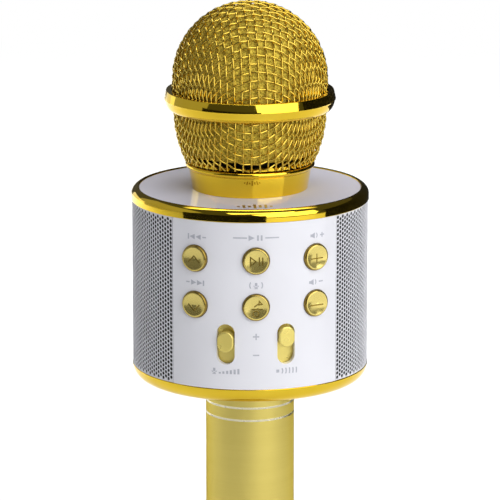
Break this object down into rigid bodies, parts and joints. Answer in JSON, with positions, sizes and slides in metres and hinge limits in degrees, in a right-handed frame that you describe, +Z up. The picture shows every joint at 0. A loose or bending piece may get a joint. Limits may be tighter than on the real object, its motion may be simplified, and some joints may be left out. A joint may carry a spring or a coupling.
{
  "type": "karaoke microphone",
  "caption": "Wireless karaoke microphone: woven ball grille on a speaker drum with push buttons, level sliders and a battery handle.",
  "frame": {"origin": "centre of the end cap's base, the lowest point of the handle", "axes": "+Z up along the handle towards the ball grille; the control panel faces -Y; +X is to the right when facing the controls"},
  "size_m": [0.08, 0.0812, 0.2462],
  "materials": {
    "gold_polished": "bright polished gold plating",
    "gold_buttons": "polished gold plated plastic",
    "gold_anodised": "satin gold anodised",
    "gold_wire": "polished gold woven wire",
    "white_gloss": "gloss white plastic",
    "grille_paint": "white painted perforated sheet",
    "foam": "open-cell foam, olive gold",
    "dark_plastic": "matte black plastic",
    "grey_plastic": "matte grey plastic",
    "rubber": "soft black rubber",
    "circuit_board": "green solder mask",
    "steel": "zinc plated steel",
    "black_steel": "black painted steel",
    "paper_cone": "black pressed paper",
    "battery_wrap": "blue shrink sleeve",
    "nickel": "nickel plated sheet",
    "light_pipe": "clear light pipe"
  },
  "bodies": {
    "drum": {"handle_tube": "gold_anodised", "battery_cell": "battery_wrap", "battery_contact": "nickel", "battery_sleeve": "dark_plastic", "handle_screws": "steel", "drum_base": "white_gloss", "drum_screws": "steel", "bottom_trim_ring": "gold_polished", "chassis": "dark_plastic", "front_panel": "white_gloss", "back_panel": "white_gloss", "left_grille": "grille_paint", "right_grille": "grille_paint", "speaker_basket_left": "black_steel", "speaker_basket_right": "black_steel", "speaker_magnet_left": "steel", "speaker_magnet_right": "steel", "speaker_cone_left": "paper_cone", "speaker_cone_right": "paper_cone", "speaker_screws": "steel", "control_board": "circuit_board", "control_board_screws": "steel", "tact_switches": "dark_plastic", "slide_pots": "steel", "main_board": "circuit_board", "main_board_screws": "steel", "main_board_components": "dark_plastic", "usb_socket": "nickel", "card_socket": "nickel", "micro_usb_socket": "nickel", "audio_jack": "dark_plastic", "status_lights": "light_pipe", "power_switch_body": "steel", "top_plate": "white_gloss", "top_trim_ring": "gold_polished", "neck_collar": "gold_polished", "neck_screws": "steel", "capsule_holder": "grey_plastic", "capsule_boot": "rubber", "mic_capsule": "nickel"},
    "previous_button": {"previous_button": "gold_buttons"},
    "next_button": {"next_button": "gold_buttons"},
    "play_button": {"play_button": "gold_buttons"},
    "voice_button": {"voice_button": "gold_buttons"},
    "volume_up_button": {"volume_up_button": "gold_buttons"},
    "volume_down_button": {"volume_down_button": "gold_buttons"},
    "mic_volume_slider": {"mic_volume_slider": "gold_buttons"},
    "reverb_slider": {"reverb_slider": "gold_buttons"},
    "power_switch": {"power_switch_knob": "gold_buttons"},
    "head": {"head_thread_ring": "gold_polished", "lower_mesh": "gold_wire", "head_band": "gold_polished", "upper_mesh": "gold_wire", "foam_windscreen": "foam"},
    "end_cap": {"end_cap": "gold_anodised", "end_cap_seal": "rubber", "battery_spring": "nickel"}
  },
  "joints": [
    {"name": "previous_press", "type": "slide", "parent": "drum", "child": "previous_button", "axis": [0.5, 0.866, 0], "range_m": [0, 0.0005], "stiffness_N_per_m": 900, "springref_m": -0.0006},
    {"name": "next_press", "type": "slide", "parent": "drum", "child": "next_button", "axis": [0.5, 0.866, 0], "range_m": [0, 0.0005], "stiffness_N_per_m": 900, "springref_m": -0.0006},
    {"name": "play_press", "type": "slide", "parent": "drum", "child": "play_button", "axis": [0, 1, 0], "range_m": [0, 0.0005], "stiffness_N_per_m": 900, "springref_m": -0.0006},
    {"name": "voice_press", "type": "slide", "parent": "drum", "child": "voice_button", "axis": [0, 1, 0], "range_m": [0, 0.0005], "stiffness_N_per_m": 900, "springref_m": -0.0006},
    {"name": "volume_up_press", "type": "slide", "parent": "drum", "child": "volume_up_button", "axis": [-0.5, 0.866, 0], "range_m": [0, 0.0005], "stiffness_N_per_m": 900, "springref_m": -0.0006},
    {"name": "volume_down_press", "type": "slide", "parent": "drum", "child": "volume_down_button", "axis": [-0.5, 0.866, 0], "range_m": [0, 0.0005], "stiffness_N_per_m": 900, "springref_m": -0.0006},
    {"name": "mic_volume_slide", "type": "slide", "parent": "drum", "child": "mic_volume_slider", "axis": [0, 0, 1], "range_m": [-0.0041, 0.0022]},
    {"name": "reverb_slide", "type": "slide", "parent": "drum", "child": "reverb_slider", "axis": [0, 0, 1], "range_m": [-0.0057, 0.0006]},
    {"name": "power_switch_slide", "type": "slide", "parent": "drum", "child": "power_switch", "axis": [-1, 0, 0], "range_m": [0, 0.004]},
    {"name": "head_unscrew", "type": "hinge", "parent": "drum", "child": "head", "pos_m": [0, 0, 0.1925], "axis": [0, 0, 1], "range_deg": [0, 900]},
    {"name": "end_cap_unscrew", "type": "hinge", "parent": "drum", "child": "end_cap", "pos_m": [0, 0, 0.009], "axis": [0, 0, 1], "range_deg": [-900, 0]}
  ]
}
